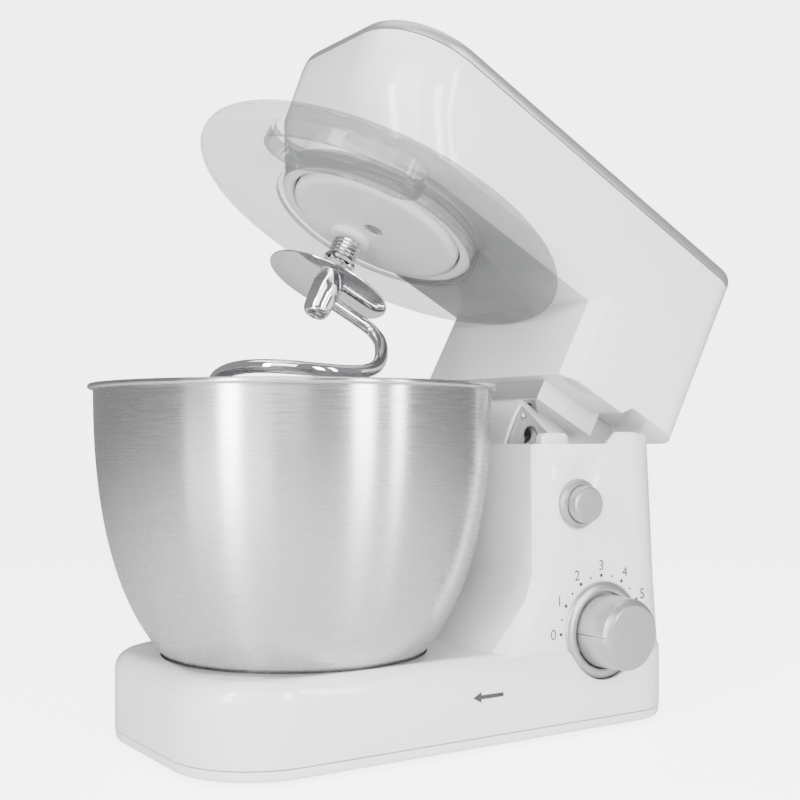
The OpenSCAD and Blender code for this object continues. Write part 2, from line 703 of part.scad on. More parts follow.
// Single-start screw: a round section whose radius waves once a pitch
module worm() color("silver") head_pose() on_motor_axis(-worm_half) {
    pitch = PI * wheel_module;
    n = 14;
    rows = 63;
    length = 2 * worm_half;
    pts = [for (j = [0:rows]) for (k = [0:n - 1]) let (z = length * j / rows, a = k * 360 / n,
        taper = min(1, j / 5, (rows - j) / 5),
        r = worm_r - 1.2 + taper * 0.95 * wheel_module * (1 + cos(360 * z / pitch - a + worm_phase)))
        [r * cos(a), r * sin(a), z]];
    polyhedron(pts, concat([for (j = [0:rows - 1]) for (k = [0:n - 1]) let (m = (k + 1) % n)
        each [[j * n + k, (j + 1) * n + k, (j + 1) * n + m], [j * n + k, (j + 1) * n + m, j * n + m]]],
        [[for (k = [0:n - 1]) k]], [[for (k = [n - 1:-1:0]) rows * n + k]]), convexity = 8);
}
worm_phase = -90 - 360 * worm_half / (PI * wheel_module);  // a crest faces a gap of the wheel

module output_shaft() color("silver") head_pose() translate([0, 0, hub_bottom + 2])
    cylinder(r = 6, h = motor_z - hub_bottom + 4);

module worm_wheel() color("tan") head_pose() translate([0, 0, motor_z - 4.5]) difference() {
    linear_extrude(9) rotate(90 + 180 / wheel_teeth) gear_outline(wheel_teeth, wheel_module, 0.12);
    translate([0, 0, -1]) cylinder(r = 6, h = 12);
}

// ---------- hub, spindle and tools ----------

module at_spindle(z) translate([0, orbit_r, z]) children();

module planetary_hub() color("white") head_pose() difference() {
    union() {
        translate([0, 0, hub_bottom]) rotate_extrude() polygon(concat([[0, 0]],
            [for (a = [0:15:90]) [hub_r - 5 + 5 * sin(a), 5 - 5 * cos(a)]], [[hub_r, hub_t], [0, hub_t]]));
        at_spindle(hub_bottom - 3) cylinder(r = 12, h = 6);
        translate([0, 0, hub_bottom + 4]) cylinder(r = 7.6, h = gear_plate_z - hub_bottom - 4.4);
        at_spindle(hub_bottom + 1) cylinder(r = 10, h = gear_z - hub_bottom - 1.4);
    }
    translate([0, 0, hub_bottom + 2]) cylinder(r = 6, h = 40);
    at_spindle(hub_bottom - 10) cylinder(r = spindle_r + running, h = 40);
    translate([0, 0, hub_bottom - 1]) cylinder(r = 4.2, h = 4);
    translate([0, 0, gear_z - 0.2]) at_spindle(0) cylinder(r = 15, h = 20);
}

module hub_screw() color("silver") head_pose() translate([0, 0, hub_bottom + 0.4]) difference() {
    cylinder(r = 4.1, h = 1.6);
    translate([-3, -0.5, -1]) cube([6, 1, 1.8]);
    translate([-0.5, -3, -1]) cube([1, 6, 1.8]);
}

module spindle_shaft() color("silver") head_pose() at_spindle(0) difference() {
    translate([0, 0, boss_tip + 6]) cylinder(r = spindle_r, h = gear_z + gear_t - boss_tip - 7);
    translate([-8, 0, boss_top - 6]) along_x() cylinder(r = 1.8, h = 16);
}

module pinion() color("tan") head_pose() at_spindle(gear_z + 0.1) difference() {
    linear_extrude(gear_t - 0.6) rotate(90) gear_outline(pinion_teeth, gear_module, 0.12);
    translate([0, 0, -1]) cylinder(r = spindle_r, h = gear_t + 2);
}

module drive_pin() color("silver") head_pose() at_spindle(boss_top - 6) translate([-8, 0, 0])
    along_x() cylinder(r = 1.8, h = 16);

module spindle_spring() color("silver") head_pose() at_spindle(boss_top + 2.8) coil(7.4, 1.1, 13, 5, 16);

module spring_washer() color("silver") head_pose() at_spindle(boss_top + 0.8) difference() {
    cylinder(r = 9.5, h = 2);
    translate([0, 0, -1]) cylinder(r = spindle_r, h = 4);
}

// Socket that slips over the spindle, with a cross slot for the drive pin
module hook_boss() color("silver") head_pose() at_spindle(0) difference() {
    rotate_extrude() polygon([[0, boss_tip], [3.6, boss_tip], [5.6, boss_tip + 0.7], [7.1, boss_tip + 2.2],
        [7.9, boss_tip + 4.8], [8.3, boss_tip + 9], [9, dish_z], [9, boss_top - 1], [8.2, boss_top],
        [0, boss_top]]);
    translate([0, 0, boss_tip + 5]) cylinder(r = spindle_r + running, h = 60);
    translate([-12, -2, boss_top - 8.2]) cube([24, 4, 20]);
    translate([0, 0, boss_tip - 1]) cylinder(r = 1.4, h = 3);
    translate([5.6, 0, rod_z]) along_x() cylinder(r = rod_d / 2 + 0.02, h = 8);
}

module dough_guard() color("silver") head_pose() at_spindle(dish_z) difference() {
    rotate_extrude() polygon([[0, 0], [dish_r - 1, 0], [dish_r, 0.5], [dish_r, 1], [dish_r - 1, 1.5],
        [0, 1.5]]);
    translate([0, 0, -1]) cylinder(r = 9, h = 4);
}

// The rod leaves the boss sideways, bends down and winds inwards below the spindle
hook_lead = [for (x = [6:6:30]) [x, 0, rod_z]];
hook_bend = [for (a = [75:-25:0]) [hook_reach - hook_bend_r + hook_bend_r * cos(a),
    hook_lean * (sin(a) - 1), rod_z - hook_bend_r + hook_bend_r * sin(a)]];
hook_turns = 34;
hook_sweep = [for (i = [1:hook_turns]) let (t = i / hook_turns, a = -400 * t,
    r = hook_reach * (1 - 0.87 * pow(t, 2.9)),
    z = hook_bottom + (rod_z - hook_bend_r - hook_bottom) * (0.56 * pow(1 - t, 4.8) + 0.44 * (1 - t)))
    [r * cos(a), r * sin(a) - hook_lean * (1 - t), z]];

module dough_hook() color("silver") head_pose() at_spindle(0)
    tube(concat(hook_lead, hook_bend, hook_sweep), rod_d / 2, 10);

// ---------- splash guard ----------

chute_mid = 81;                       // radius of the chute's centre line
chute_half = 14;
chute_from = 202;
chute_to = 244;
chute_drop = 10;
splash_t = 2.4;
function arc_points(x, y, r, a0, a1, n) = [for (i = [0:n]) let (a = a0 + (a1 - a0) * i / n)
    [x + r * cos(a), y + r * sin(a)]];
module chute_plan(grow = 0) let (h = chute_half + grow) polygon(concat(
    arc_points(0, 0, chute_mid + h, chute_from, chute_to, 12),
    arc_points(chute_mid * cos(chute_to), chute_mid * sin(chute_to), h, chute_to + 15,
        chute_to + 165, 10),
    arc_points(0, 0, chute_mid - h, chute_to, chute_from, 8),
    arc_points(chute_mid * cos(chute_from), chute_mid * sin(chute_from), h, chute_from + 195,
        chute_from + 345, 10)));

module splash_guard() color([0.8, 0.85, 0.9, 0.4]) head_pose() difference() {
    union() {
        translate([0, 0, guard_plane]) cylinder(r = bowl_d / 2 - 1, h = splash_t);
        slab(guard_plane - chute_drop, chute_drop + splash_t) chute_plan(1.8);
        translate([0, 0, guard_plane - 3]) cylinder(r = collar_r + 2.6, h = 11);
    }
    translate([0, 0, guard_plane - 12]) cylinder(r = collar_r + near_fit, h = 40);
    slab(guard_plane - 20, 40) chute_plan();
}

base_housing();
column_housing();
base_tray();
suction_foot(0);  // suction_foot_1
suction_foot(1);  // suction_foot_2
suction_foot(2);  // suction_foot_3
suction_foot(3);  // suction_foot_4
bowl_lock_ring();
hinge_bracket();
hinge_pin();
dial_bezel();
button_bezel();
speed_switch();
control_board();
latch_spring();
cord_gland();
base_screws();
speed_knob();
selector_shaft();
release_button();
latch_bolt();
bowl();
bowl_foot();
head_housing();
top_cover();
head_tongue();
latch_plate();
hinge_bush(-1);  // hinge_bush_left
hinge_bush(1);  // hinge_bush_right
gearbox_housing();
ring_gear();
hub_bearing();
hub_collar();
motor_stator();
field_coils();
motor_bracket(48, gear_plate_z + 4);  // motor_bracket_front
motor_bracket(139, neck_h + step_h + 4);  // motor_bracket_rear
shaft_bearing(46);  // shaft_bearing_front
shaft_bearing(138);  // shaft_bearing_rear
carbon_brush(-1);  // carbon_brush_left
carbon_brush(1);  // carbon_brush_right
cover_screws();
rotor_shaft();
rotor_core();
commutator();
cooling_fan();
worm();
output_shaft();
worm_wheel();
planetary_hub();
hub_screw();
spindle_shaft();
pinion();
drive_pin();
spindle_spring();
spring_washer();
hook_boss();
dough_guard();
dough_hook();
splash_guard();
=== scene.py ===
# %% [markdown]
# # A tilt-head stand mixer
# The mixer stands on a pale counter with its head raised over a steel bowl. The parts come
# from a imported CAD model, which is loaded as a fixed frame. What shows most is modelled
# again here with finer shapes, and every piece gets a procedural finish.
# All sizes below are in millimetres from the bowl's own axis, and `spot` turns them into metres.

# %% Load the frame
import json
import math
import bmesh
import bpy
from mathutils import Matrix, Vector


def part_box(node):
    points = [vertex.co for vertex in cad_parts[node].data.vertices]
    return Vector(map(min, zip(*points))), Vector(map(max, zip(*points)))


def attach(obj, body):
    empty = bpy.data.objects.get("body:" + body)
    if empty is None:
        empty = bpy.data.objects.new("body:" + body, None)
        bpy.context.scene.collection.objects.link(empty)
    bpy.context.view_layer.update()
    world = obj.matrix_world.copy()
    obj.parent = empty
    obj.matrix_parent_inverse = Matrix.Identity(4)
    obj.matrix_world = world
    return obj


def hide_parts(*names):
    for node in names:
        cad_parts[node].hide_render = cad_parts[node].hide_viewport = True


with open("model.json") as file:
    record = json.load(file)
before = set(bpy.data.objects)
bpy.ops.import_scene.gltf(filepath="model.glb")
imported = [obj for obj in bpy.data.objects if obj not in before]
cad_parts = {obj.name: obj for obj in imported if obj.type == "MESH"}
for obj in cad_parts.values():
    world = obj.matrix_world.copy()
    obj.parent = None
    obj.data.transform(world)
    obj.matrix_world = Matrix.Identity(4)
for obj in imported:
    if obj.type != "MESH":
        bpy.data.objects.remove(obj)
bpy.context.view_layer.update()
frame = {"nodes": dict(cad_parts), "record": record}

joints = {j["name"]: j for j in frame["record"]["behaviour"]["joints"]}
bowl_low, bowl_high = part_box("bowl")
bowl_x = (bowl_low[0] + bowl_high[0]) / 2
hinge = Vector(joints["head_tilt"]["pos_m"])
open_angle = math.radians(joints["head_tilt"]["range_deg"][1])
print("nodes in the frame:", len(frame["nodes"]), "bowl axis at", round(bowl_x, 4))

# %% [markdown]
# ## Places
# The head is easier to model closed, where its faces are level. `raised` swings a finished
# piece up about the hinge pin, the way a hand would open the real one.

# %% From millimetres to places
def spot(x, y, z):
    return Vector((bowl_x + x / 1000, y / 1000, z / 1000))


swing = Matrix.Translation(hinge) @ Matrix.Rotation(open_angle, 4, "Y") @ Matrix.Translation(-hinge)
print("the head is open by", round(math.degrees(open_angle)), "degrees")

# %% [markdown]
# ## Hand tools
# A few short helpers stand for what a hand does in the window: pick one object, go into
# edit mode, select by place, bevel, move, cut. Everything is deselected first, because an
# operator acts on all that is selected.

# %% Pick and edit
def alone(obj):
    bpy.ops.object.select_all(action="DESELECT")
    obj.select_set(True)
    bpy.context.view_layer.objects.active = obj


def choose(kind, test):
    mesh = bpy.context.object.data
    bpy.ops.mesh.select_mode(type={"verts": "VERT", "edges": "EDGE", "faces": "FACE"}[kind])
    bpy.ops.mesh.select_all(action="DESELECT")
    bm = bmesh.from_edit_mesh(mesh)
    for part in getattr(bm, kind):
        part.select_set(bool(test(part)))
    bmesh.update_edit_mesh(mesh)


def edit(obj):
    alone(obj)
    bpy.ops.object.mode_set(mode="EDIT")


def done():
    bpy.ops.object.mode_set(mode="OBJECT")


def mm(v):
    return ((v.co.x - bowl_x) * 1000, v.co.y * 1000, v.co.z * 1000)


# %% Blocks, bevels and moves
def block(name, low, high):
    bpy.ops.object.select_all(action="DESELECT")
    a, b = spot(*low), spot(*high)
    bpy.ops.mesh.primitive_cube_add(size=1, location=(a + b) / 2)
    obj = bpy.context.object
    obj.name = obj.data.name = name
    obj.scale = b - a
    bpy.ops.object.transform_apply(location=True, rotation=True, scale=True)
    return obj


def upright(edge):
    a, b = edge.verts
    return abs(a.co.z - b.co.z) > 0.6 * (a.co - b.co).length


def bevel(test, width, segments=1):
    choose("edges", test)
    bpy.ops.mesh.bevel(offset=width / 1000, segments=segments, affect="EDGES", clamp_overlap=False)


def move(test, x=0, y=0, z=0):
    choose("verts", lambda v: test(*mm(v)))
    bpy.ops.transform.translate(value=(x / 1000, y / 1000, z / 1000))


def level(z):
    bpy.ops.mesh.select_all(action="SELECT")
    bpy.ops.mesh.bisect(plane_co=(0, 0, z / 1000), plane_no=(0, 0, 1))


# %% Cuts and joins
def combine(obj, other, how):
    alone(obj)
    mod = obj.modifiers.new("combine", "BOOLEAN")
    mod.object, mod.operation, mod.solver = other, how, "EXACT"
    bpy.ops.object.modifier_apply(modifier=mod.name)
    bpy.data.objects.remove(other)


def cut(obj, *others):
    for other in others:
        combine(obj, other, "DIFFERENCE")


def weld(obj, *others):
    for other in others:
        combine(obj, other, "UNION")


def soften(obj, width, segments=2, angle=32):
    alone(obj)
    mod = obj.modifiers.new("soft edges", "BEVEL")
    mod.width, mod.segments, mod.limit_method = width / 1000, segments, "ANGLE"
    mod.angle_limit = math.radians(angle)
    mod.use_clamp_overlap = True
    bpy.ops.object.modifier_apply(modifier=mod.name)


# %% [markdown]
# Round pieces are turned: a profile is drawn point by point by extruding one vertex, and
# the spin tool carries it round its axis, as on a lathe.

# %% Turn a profile
def turned(name, profile, centre=(0, 0, 0), axis="Z", steps=96):
    bpy.ops.object.select_all(action="DESELECT")
    bpy.ops.mesh.primitive_plane_add(size=0.001, location=(0, 0, 0))
    obj = bpy.context.object
    obj.name = obj.data.name = name
    bpy.ops.object.mode_set(mode="EDIT")
    bpy.ops.mesh.select_mode(type="VERT")
    bpy.ops.mesh.select_all(action="SELECT")
    bpy.ops.mesh.merge(type="CENTER")
    last = Vector((0, 0, 0))
    for r, z in profile:
        here = Vector((r / 1000, 0, z / 1000))
        bpy.ops.mesh.extrude_region_move(TRANSFORM_OT_translate={"value": here - last})
        last = here
    bm = bmesh.from_edit_mesh(obj.data)
    bm.verts.ensure_lookup_table()
    first = bm.verts[0]
    if (first.co - Vector((profile[0][0] / 1000, 0, profile[0][1] / 1000))).length > 1e-9:
        bm.verts.remove(first)
        bmesh.update_edit_mesh(obj.data)
    bpy.ops.mesh.select_all(action="SELECT")
    bpy.ops.mesh.spin(steps=steps, angle=math.tau, center=(0, 0, 0), axis=(0, 0, 1))
    bpy.ops.mesh.select_all(action="SELECT")
    bpy.ops.mesh.remove_doubles(threshold=0.00001)
    bpy.ops.mesh.normals_make_consistent(inside=False)
    bpy.ops.object.mode_set(mode="OBJECT")
    turn = {"Z": Matrix.Identity(4), "-Y": Matrix.Rotation(math.radians(90), 4, "X"),
            "X": Matrix.Rotation(math.radians(90), 4, "Y")}[axis]
    obj.matrix_world = Matrix.Translation(spot(*centre)) @ turn
    bpy.ops.object.transform_apply(location=True, rotation=True, scale=True)
    return obj


def rod_between(name, start, end, r, steps=48):
    a, b = spot(*start), spot(*end)
    bpy.ops.object.select_all(action="DESELECT")
    bpy.ops.mesh.primitive_cylinder_add(vertices=steps, radius=r / 1000, depth=(b - a).length)
    obj = bpy.context.object
    obj.name = obj.data.name = name
    obj.matrix_world = Matrix.Translation((a + b) / 2) @ (b - a).to_track_quat("Z", "Y").to_matrix().to_4x4()
    bpy.ops.object.transform_apply(location=True, rotation=True, scale=True)
    return obj


# %% Finish a piece
made = []


def finish(obj, body, finish_material, stands_for=(), is_raised=False, angle=34):
    alone(obj)
    if is_raised:
        obj.matrix_world = swing @ obj.matrix_world
        bpy.ops.object.transform_apply(location=True, rotation=True, scale=True)
    bpy.ops.object.shade_smooth_by_angle(angle=math.radians(angle))
    obj.data.materials.clear()
    obj.data.materials.append(finish_material)
    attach(obj, body)
    if stands_for:
        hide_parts(*stands_for)
    made.append(obj)
    print(obj.name, len(obj.data.polygons), "faces")
    return obj


def copied(node, name):
    obj = frame["nodes"][node].copy()
    obj.data = obj.data.copy()
    obj.parent = None
    bpy.context.scene.collection.objects.link(obj)
    obj.name = obj.data.name = name
    edit(obj)
    bpy.ops.mesh.select_all(action="SELECT")
    bpy.ops.mesh.remove_doubles(threshold=0.000002)
    bpy.ops.mesh.dissolve_limited(angle_limit=math.radians(1))
    done()
    return obj


# %% [markdown]
# ## Camera
# A level camera stands in front and a little to the nose side, at about the height of the
# column. A small shift keeps the verticals upright while the raised head stays in view.

# %% Camera
bpy.ops.object.select_all(action="DESELECT")
bpy.ops.object.camera_add(location=spot(-329.3, -600.7, 167),
                          rotation=(math.radians(90), 0, math.radians(-33.52)))
camera = bpy.context.object
camera.data.sensor_width = 36
camera.data.lens = 56.43
camera.data.shift_y = 0.0426
camera.data.clip_start = 0.01
bpy.context.scene.camera = camera
print("camera", [round(c, 3) for c in camera.location])

# %% [markdown]
# ## Light
# A white studio: a big soft key over the nose side, tall strip boxes that draw the bright
# bands down the steel and the gloss, and a grey surround so that metal has something dark
# to reflect. Only what the camera sees directly is pure white.

# %% Surround
world = bpy.data.worlds.new("studio")
bpy.context.scene.world = world
world.use_nodes = True
wn = world.node_tree
wn.nodes.clear()
w_out = wn.nodes.new("ShaderNodeOutputWorld")
w_mix = wn.nodes.new("ShaderNodeMixShader")
w_path = wn.nodes.new("ShaderNodeLightPath")
w_white = wn.nodes.new("ShaderNodeBackground")
w_white.inputs["Color"].default_value = (1, 1, 1, 1)
w_white.inputs["Strength"].default_value = 5.0
w_grey = wn.nodes.new("ShaderNodeBackground")
w_grey.inputs["Color"].default_value = (0.60, 0.60, 0.61, 1)
w_grey.inputs["Strength"].default_value = 0.6
wn.links.new(w_path.outputs["Is Camera Ray"], w_mix.inputs[0])
wn.links.new(w_grey.outputs[0], w_mix.inputs[1])
wn.links.new(w_white.outputs[0], w_mix.inputs[2])
wn.links.new(w_mix.outputs[0], w_out.inputs[0])


# %% Lamps
def lamp(name, place, target, size, power):
    bpy.ops.object.select_all(action="DESELECT")
    bpy.ops.object.light_add(type="AREA", location=spot(*place))
    obj = bpy.context.object
    obj.name = name
    obj.data.shape = "RECTANGLE"
    obj.data.size, obj.data.size_y = size
    obj.data.energy = power
    aim = spot(*target) - obj.location
    obj.rotation_euler = aim.to_track_quat("-Z", "Y").to_euler()
    return obj


lamp("key", (-700, -800, 800), (40, 0, 150), (0.8, 0.8), 11)
lamp("strip_left", (-860, -450, 330), (0, 0, 130), (0.16, 1.1), 14)
lamp("strip_middle", (166, -1184, 330), (0, 0, 130), (0.22, 1.1), 16)
lamp("strip_right", (516, -971, 330), (40, 0, 130), (0.12, 1.1), 7)
lamp("under", (-500, -250, 12), (0, 0, 220), (0.5, 0.3), 1.5)
lamp("top", (60, 60, 1200), (60, 0, 100), (1.2, 0.8), 10)

# %% [markdown]
# ## Shared effects
# Three small groups do most of the surface work: `Grain` gives a fine moulded or sanded
# texture, the edge group finds the edges by comparing normals for worn edges and for the painted shade on
# the clear guard's polished edges, and `Dust` lies on what faces up.
# Each is built once and used with its own values.

# %% Group helper
def group(name, inputs, outputs):
    tree = bpy.data.node_groups.new(name, "ShaderNodeTree")
    for label, kind, value in inputs:
        sock = tree.interface.new_socket(name=label, in_out="INPUT", socket_type=kind)
        if value is not None:
            sock.default_value = value
    for label, kind in outputs:
        tree.interface.new_socket(name=label, in_out="OUTPUT", socket_type=kind)
    return tree, tree.nodes.new("NodeGroupInput"), tree.nodes.new("NodeGroupOutput")


def math_node(tree, kind, a, b=None, c=None):
    node = tree.nodes.new("ShaderNodeMath")
    node.operation = kind
    for i, v in enumerate((a, b, c)):
        if v is None:
            continue
        if isinstance(v, (int, float)):
            node.inputs[i].default_value = v
        else:
            tree.links.new(v, node.inputs[i])
    return node.outputs[0]


def ramp(tree, value, low, high, a=0.0, b=1.0):
    node = tree.nodes.new("ShaderNodeMapRange")
    node.inputs["From Min"].default_value = low
    node.inputs["From Max"].default_value = high
    node.inputs["To Min"].default_value = a
    node.inputs["To Max"].default_value = b
    tree.links.new(value, node.inputs["Value"])
    return node.outputs["Result"]


# %% Grain
grain, g_in, g_out = group("Grain", [("Scale", "NodeSocketFloat", 900.0),
                                     ("Patches", "NodeSocketFloat", 18.0)],
                           [("Fine", "NodeSocketFloat"), ("Broad", "NodeSocketFloat")])
g_co = grain.nodes.new("ShaderNodeTexCoord")
for label, source, detail in (("Fine", "Scale", 3), ("Broad", "Patches", 2)):
    noise = grain.nodes.new("ShaderNodeTexNoise")
    noise.inputs["Detail"].default_value = detail
    grain.links.new(g_co.outputs["Object"], noise.inputs["Vector"])
    grain.links.new(g_in.outputs[source], noise.inputs["Scale"])
    grain.links.new(noise.outputs["Fac"], g_out.inputs[label])

# %% Edge wear, also used for painted shade on clear edges
edge_wear_and_shade, e_in, e_out = group("Edge wear", [("Radius", "NodeSocketFloat", 0.0012),
                                        ("Amount", "NodeSocketFloat", 1.0)],
                          [("Mask", "NodeSocketFloat")])
e_bevel = edge_wear_and_shade.nodes.new("ShaderNodeBevel")
e_bevel.samples = 4
edge_wear_and_shade.links.new(e_in.outputs["Radius"], e_bevel.inputs["Radius"])
e_geo = edge_wear_and_shade.nodes.new("ShaderNodeNewGeometry")
e_dot = edge_wear_and_shade.nodes.new("ShaderNodeVectorMath")
e_dot.operation = "DOT_PRODUCT"
edge_wear_and_shade.links.new(e_bevel.outputs[0], e_dot.inputs[0])
edge_wear_and_shade.links.new(e_geo.outputs["Normal"], e_dot.inputs[1])
e_mask = ramp(edge_wear_and_shade, e_dot.outputs["Value"], 0.995, 0.86)
e_noise = edge_wear_and_shade.nodes.new("ShaderNodeTexNoise")
e_noise.inputs["Scale"].default_value = 160
e_co = edge_wear_and_shade.nodes.new("ShaderNodeTexCoord")
edge_wear_and_shade.links.new(e_co.outputs["Object"], e_noise.inputs["Vector"])
e_patch = ramp(edge_wear_and_shade, e_noise.outputs["Fac"], 0.4, 0.65)
e_both = math_node(edge_wear_and_shade, "MULTIPLY", e_mask, e_patch)
edge_wear_and_shade.links.new(math_node(edge_wear_and_shade, "MULTIPLY", e_both, e_in.outputs["Amount"]), e_out.inputs["Mask"])

# %% Dust
dust, d_in, d_out = group("Dust", [("Amount", "NodeSocketFloat", 0.1)], [("Mask", "NodeSocketFloat")])
d_geo = dust.nodes.new("ShaderNodeNewGeometry")
d_sep = dust.nodes.new("ShaderNodeSeparateXYZ")
dust.links.new(d_geo.outputs["Normal"], d_sep.inputs[0])
d_up = ramp(dust, d_sep.outputs["Z"], 0.55, 1.0)
d_noise = dust.nodes.new("ShaderNodeTexNoise")
d_noise.inputs["Scale"].default_value = 60
d_noise.inputs["Detail"].default_value = 5
d_co = dust.nodes.new("ShaderNodeTexCoord")
dust.links.new(d_co.outputs["Object"], d_noise.inputs["Vector"])
d_spots = ramp(dust, d_noise.outputs["Fac"], 0.35, 0.75)
d_all = math_node(dust, "MULTIPLY", d_up, d_spots)
dust.links.new(math_node(dust, "MULTIPLY", d_all, d_in.outputs["Amount"]), d_out.inputs["Mask"])
print("shared groups:", [g.name for g in (grain, edge_wear_and_shade, dust)])


# %% [markdown]
# ## Finishes
# `surface` starts a material with the three groups wired to colour, roughness and bump, so
# that no finish is one flat colour. What is the same all over, such as coat or anisotropy,
# is set on the shader itself.

# %% A surface with grain, wear and dust
def surface(name, colour, rough, metal=0.0, edge_wear_and_shade_colour=None, edge_wear_and_shade_amount=0.5, tint=0.04, bump=0.05,
            scale=900.0, dusty=0.06, rough_swing=0.08):
    mat = bpy.data.materials.new(name)
    mat.use_nodes = True
    tree = mat.node_tree
    shader = tree.nodes["Principled BSDF"]
    shader.inputs["Metallic"].default_value = metal

    def use(g, **values):
        node = tree.nodes.new("ShaderNodeGroup")
        node.node_tree = g
        for key, value in values.items():
            node.inputs[key].default_value = value
        return node

    g = use(grain, Scale=scale)
    e = use(edge_wear_and_shade, Amount=edge_wear_and_shade_amount)
    d = use(dust, Amount=dusty)

    def mix(fac, a, b, blend="MIX"):
        node = tree.nodes.new("ShaderNodeMix")
        node.data_type, node.blend_type = "RGBA", blend
        if isinstance(fac, float):
            node.inputs["Factor"].default_value = fac
        else:
            tree.links.new(fac, node.inputs["Factor"])
        for i, v in ((6, a), (7, b)):
            if isinstance(v, tuple):
                node.inputs[i].default_value = (*v, 1)
            else:
                tree.links.new(v, node.inputs[i])
        return node.outputs[2]

    dark = tuple(c * (1 - tint) for c in colour)
    base = mix(ramp(tree, g.outputs["Broad"], 0.35, 0.65), dark, tuple(colour))
    # On most finishes the edge colour is real wear; on the clear guard it is painted shade for its dark
    # polished edges.
    edge_colour = edge_wear_and_shade_colour or tuple(min(1, c * 1.12) for c in colour)
    base = mix(e.outputs["Mask"], base, edge_colour)
    base = mix(d.outputs["Mask"], base, (0.62, 0.61, 0.58))
    tree.links.new(base, shader.inputs["Base Color"])
    r = ramp(tree, g.outputs["Broad"], 0.3, 0.7, max(0.02, rough - rough_swing / 2), rough + rough_swing / 2)
    r = math_node(tree, "MULTIPLY_ADD", d.outputs["Mask"], 0.5, r)
    tree.links.new(r, shader.inputs["Roughness"])
    node = tree.nodes.new("ShaderNodeBump")
    node.inputs["Strength"].default_value = bump
    node.inputs["Distance"].default_value = 0.0002
    tree.links.new(g.outputs["Fine"], node.inputs["Height"])
    tree.links.new(node.outputs[0], shader.inputs["Normal"])
    return mat


# %% Plastics and metals
white = surface("gloss white moulding", (0.87, 0.87, 0.865), 0.3, tint=0.015, bump=0.012, scale=500,
                rough_swing=0.05)
white.node_tree.nodes["Principled BSDF"].inputs["Coat Weight"].default_value = 1.0
white.node_tree.nodes["Principled BSDF"].inputs["Coat Roughness"].default_value = 0.04
satin_white = surface("satin white hub", (0.80, 0.80, 0.79), 0.32, tint=0.03, bump=0.03)
silver = surface("silver paint", (0.41, 0.415, 0.42), 0.34, metal=0.75, edge_wear_and_shade_colour=(0.74, 0.74, 0.74),
                 scale=2200, bump=0.06, tint=0.05)
silver_light = surface("light silver paint", (0.36, 0.362, 0.366), 0.34, metal=0.6,
                       edge_wear_and_shade_colour=(0.5, 0.5, 0.5), scale=2200, bump=0.05, tint=0.04)
grey = surface("grey latch moulding", (0.27, 0.275, 0.28), 0.38, tint=0.08, bump=0.12, scale=700)
dark = surface("dark moulding", (0.03, 0.03, 0.032), 0.45, tint=0.2, bump=0.15)
rubber = surface("foot rubber", (0.05, 0.05, 0.052), 0.7, tint=0.25, bump=0.3, scale=500)
plain_steel = surface("machined steel", (0.55, 0.55, 0.57), 0.3, metal=1.0, scale=1500, bump=0.1, tint=0.1)
chrome = surface("polished chrome", (0.80, 0.80, 0.81), 0.045, metal=1.0, tint=0.02, bump=0.004,
                 scale=300, rough_swing=0.03, dusty=0.02)
bronze = surface("sintered bronze", (0.50, 0.36, 0.20), 0.4, metal=1.0, scale=1800, bump=0.2, tint=0.15)
cast = surface("cast alloy", (0.52, 0.53, 0.55), 0.5, metal=0.9, scale=700, bump=0.35, tint=0.12)
nylon = surface("natural nylon", (0.78, 0.74, 0.62), 0.42, scale=800, bump=0.06, tint=0.05)
nylon.node_tree.nodes["Principled BSDF"].inputs["Subsurface Weight"].default_value = 0.1
laminations = surface("stacked laminations", (0.22, 0.23, 0.25), 0.45, metal=0.9, scale=1500, bump=0.3,
                      tint=0.2)
copper = surface("enamelled copper", (0.62, 0.27, 0.12), 0.3, metal=0.95, scale=1200, bump=0.3, tint=0.15)
carbon = surface("brush carbon", (0.035, 0.035, 0.037), 0.65, scale=1800, bump=0.3, tint=0.3)
board = surface("board green", (0.03, 0.16, 0.07), 0.35, scale=900, bump=0.1, tint=0.2)
print("materials", len(bpy.data.materials))

# %% [markdown]
# The bowl is brushed while it spins, so its scratches run round it and stretch every
# highlight up and down. Noise squeezed in height and drawn out round the axis gives the
# scratches, and an anisotropic shader with a radial tangent spreads the light across them.

# %% Brushed steel
brushed = surface("brushed bowl steel", (0.56, 0.56, 0.57), 0.27, metal=1.0, tint=0.03, bump=0.01,
                  dusty=0.0, edge_wear_and_shade_amount=0.3)
bt = brushed.node_tree
bs = bt.nodes["Principled BSDF"]
bs.inputs["Anisotropic"].default_value = 0.9
bs.inputs["Anisotropic Rotation"].default_value = 0.25
b_tan = bt.nodes.new("ShaderNodeTangent")
b_tan.direction_type, b_tan.axis = "RADIAL", "Z"
bt.links.new(b_tan.outputs[0], bs.inputs["Tangent"])
b_co = bt.nodes.new("ShaderNodeTexCoord")
b_map = bt.nodes.new("ShaderNodeMapping")
b_map.inputs["Location"].default_value = (-bowl_x, 0, 0)
bt.links.new(b_co.outputs["Object"], b_map.inputs["Vector"])
b_sep = bt.nodes.new("ShaderNodeSeparateXYZ")
bt.links.new(b_map.outputs[0], b_sep.inputs[0])
b_turn = math_node(bt, "ARCTAN2", b_sep.outputs["Y"], b_sep.outputs["X"])
b_vec = bt.nodes.new("ShaderNodeCombineXYZ")
bt.links.new(math_node(bt, "MULTIPLY", b_turn, 2.2), b_vec.inputs["X"])
bt.links.new(math_node(bt, "MULTIPLY", b_sep.outputs["Z"], 900.0), b_vec.inputs["Y"])
b_fine = bt.nodes.new("ShaderNodeTexNoise")
b_fine.inputs["Scale"].default_value = 1.6
b_fine.inputs["Detail"].default_value = 4
bt.links.new(b_vec.outputs[0], b_fine.inputs["Vector"])
b_bump = bt.nodes.new("ShaderNodeBump")
b_bump.inputs["Strength"].default_value = 0.12
